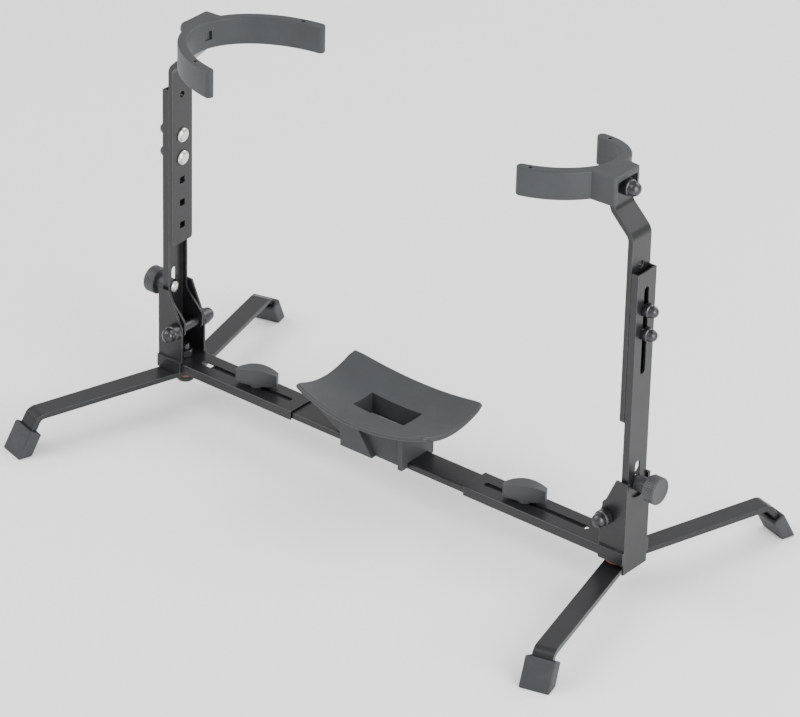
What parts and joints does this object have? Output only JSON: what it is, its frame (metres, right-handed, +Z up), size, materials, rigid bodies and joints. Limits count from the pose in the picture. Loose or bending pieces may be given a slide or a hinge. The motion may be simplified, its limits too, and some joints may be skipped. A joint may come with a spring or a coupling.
{
  "type": "instrument stand",
  "caption": "Folding floor stand for a lying instrument, with C-shaped holders on adjustable uprights, a sliding dished saddle on a telescoping bar, and swinging legs.",
  "frame": {"origin": "on the floor under the middle of the stand's bounding box", "axes": "+X along the bar to the right holder, +Y to the back, +Z up"},
  "size_m": [0.64, 0.368, 0.4085],
  "materials": {
    "black_paint": "satin black powder coat",
    "grey_plastic": "slate grey moulded plastic, fine grain",
    "black_plastic": "black moulded knob",
    "zinc": "bright zinc plate",
    "dark_steel": "black passivated steel",
    "rubber": "matte black rubber",
    "red_fibre": "orange-red fibre washer",
    "foam": "speckled light grey foam"
  },
  "bodies": {
    "base": {"centre_bar": "black_paint", "left_clamp_bolt": "zinc", "right_clamp_bolt": "zinc"},
    "saddle_body": {"saddle": "grey_plastic", "saddle_pad": "foam"},
    "left_end": {"left_end_channel": "black_paint", "left_bracket": "black_paint", "left_pivot_pin": "zinc", "left_pivot_sleeve": "dark_steel", "left_pivot_cap_front": "dark_steel", "left_pivot_cap_back": "dark_steel", "left_leg_bolt": "dark_steel", "left_leg_nut": "dark_steel", "left_leg_washer_top": "red_fibre", "left_leg_washer_mid": "red_fibre"},
    "left_upright": {"left_lower_upright": "black_paint"},
    "left_lock": {"left_lock_bolt": "zinc"},
    "left_lock_grip": {"left_lock_knob": "black_plastic"},
    "left_wing": {"left_wing_knob": "black_plastic"},
    "left_holder": {"left_upper_upright": "black_paint", "left_height_bolt_upper": "zinc", "left_height_bolt_lower": "zinc", "left_height_nut_upper": "dark_steel", "left_height_nut_lower": "dark_steel", "left_yoke": "grey_plastic", "left_yoke_bolt": "dark_steel", "left_yoke_nut": "dark_steel"},
    "left_front_swing": {"left_front_leg": "black_paint", "left_front_foot": "rubber"},
    "left_back_swing": {"left_back_leg": "black_paint", "left_back_foot": "rubber"},
    "right_end": {"right_end_channel": "black_paint", "right_bracket": "black_paint", "right_pivot_pin": "zinc", "right_pivot_sleeve": "dark_steel", "right_pivot_cap_front": "dark_steel", "right_pivot_cap_back": "dark_steel", "right_leg_bolt": "dark_steel", "right_leg_nut": "dark_steel", "right_leg_washer_top": "red_fibre", "right_leg_washer_mid": "red_fibre"},
    "right_upright": {"right_lower_upright": "black_paint"},
    "right_lock": {"right_lock_bolt": "zinc"},
    "right_lock_grip": {"right_lock_knob": "black_plastic"},
    "right_wing": {"right_wing_knob": "black_plastic"},
    "right_holder": {"right_upper_upright": "black_paint", "right_height_bolt_upper": "zinc", "right_height_bolt_lower": "zinc", "right_height_nut_upper": "dark_steel", "right_height_nut_lower": "dark_steel", "right_yoke": "grey_plastic", "right_yoke_bolt": "dark_steel", "right_yoke_nut": "dark_steel"},
    "right_front_swing": {"right_front_leg": "black_paint", "right_front_foot": "rubber"},
    "right_back_swing": {"right_back_leg": "black_paint", "right_back_foot": "rubber"}
  },
  "joints": [
    {"name": "saddle_slide", "type": "slide", "parent": "base", "child": "saddle_body", "axis": [1, 0, 0], "range_m": [-0.025, 0.025]},
    {"name": "left_extension", "type": "slide", "parent": "base", "child": "left_end", "axis": [-1, 0, 0], "range_m": [-0.026, 0.038]},
    {"name": "left_wing_turn", "type": "hinge", "parent": "base", "child": "left_wing", "pos_m": [-0.164, 0, 0.0487], "axis": [0, 0, 1], "continuous": true},
    {"name": "left_fold", "type": "hinge", "parent": "left_end", "child": "left_upright", "pos_m": [-0.2481, 0, 0.081], "axis": [0, 1, 0], "range_deg": [0, 75]},
    {"name": "left_lock_lift", "type": "slide", "parent": "left_upright", "child": "left_lock", "axis": [0, 0, 1], "range_m": [0, 0.018]},
    {"name": "left_lock_turn", "type": "hinge", "parent": "left_lock", "child": "left_lock_grip", "pos_m": [-0.2671, 0, 0.115], "axis": [1, 0, 0], "continuous": true},
    {"name": "left_height", "type": "slide", "parent": "left_upright", "child": "left_holder", "axis": [0, 0, 1], "range_m": [-0.026, 0.028]},
    {"name": "left_front_leg_swing", "type": "hinge", "parent": "left_end", "child": "left_front_swing", "pos_m": [-0.2513, 0, 0.0351], "axis": [0, 0, 1], "range_deg": [0, 90]},
    {"name": "left_back_leg_swing", "type": "hinge", "parent": "left_end", "child": "left_back_swing", "pos_m": [-0.2513, 0, 0.0285], "axis": [0, 0, 1], "range_deg": [-90, 0]},
    {"name": "right_extension", "type": "slide", "parent": "base", "child": "right_end", "axis": [1, 0, 0], "range_m": [-0.03, 0.04]},
    {"name": "right_wing_turn", "type": "hinge", "parent": "base", "child": "right_wing", "pos_m": [0.147, 0, 0.0487], "axis": [0, 0, 1], "continuous": true},
    {"name": "right_fold", "type": "hinge", "parent": "right_end", "child": "right_upright", "pos_m": [0.2481, 0, 0.081], "axis": [0, 1, 0], "range_deg": [-70, 0]},
    {"name": "right_lock_lift", "type": "slide", "parent": "right_upright", "child": "right_lock", "axis": [0, 0, 1], "range_m": [0, 0.018]},
    {"name": "right_lock_turn", "type": "hinge", "parent": "right_lock", "child": "right_lock_grip", "pos_m": [0.2671, 0, 0.115], "axis": [1, 0, 0], "continuous": true},
    {"name": "right_height", "type": "slide", "parent": "right_upright", "child": "right_holder", "axis": [0, 0, 1], "range_m": [-0.036, 0.018]},
    {"name": "right_front_leg_swing", "type": "hinge", "parent": "right_end", "child": "right_front_swing", "pos_m": [0.2513, 0, 0.0285], "axis": [0, 0, 1], "range_deg": [-90, 0]},
    {"name": "right_back_leg_swing", "type": "hinge", "parent": "right_end", "child": "right_back_swing", "pos_m": [0.2513, 0, 0.0351], "axis": [0, 0, 1], "range_deg": [0, 90]}
  ]
}
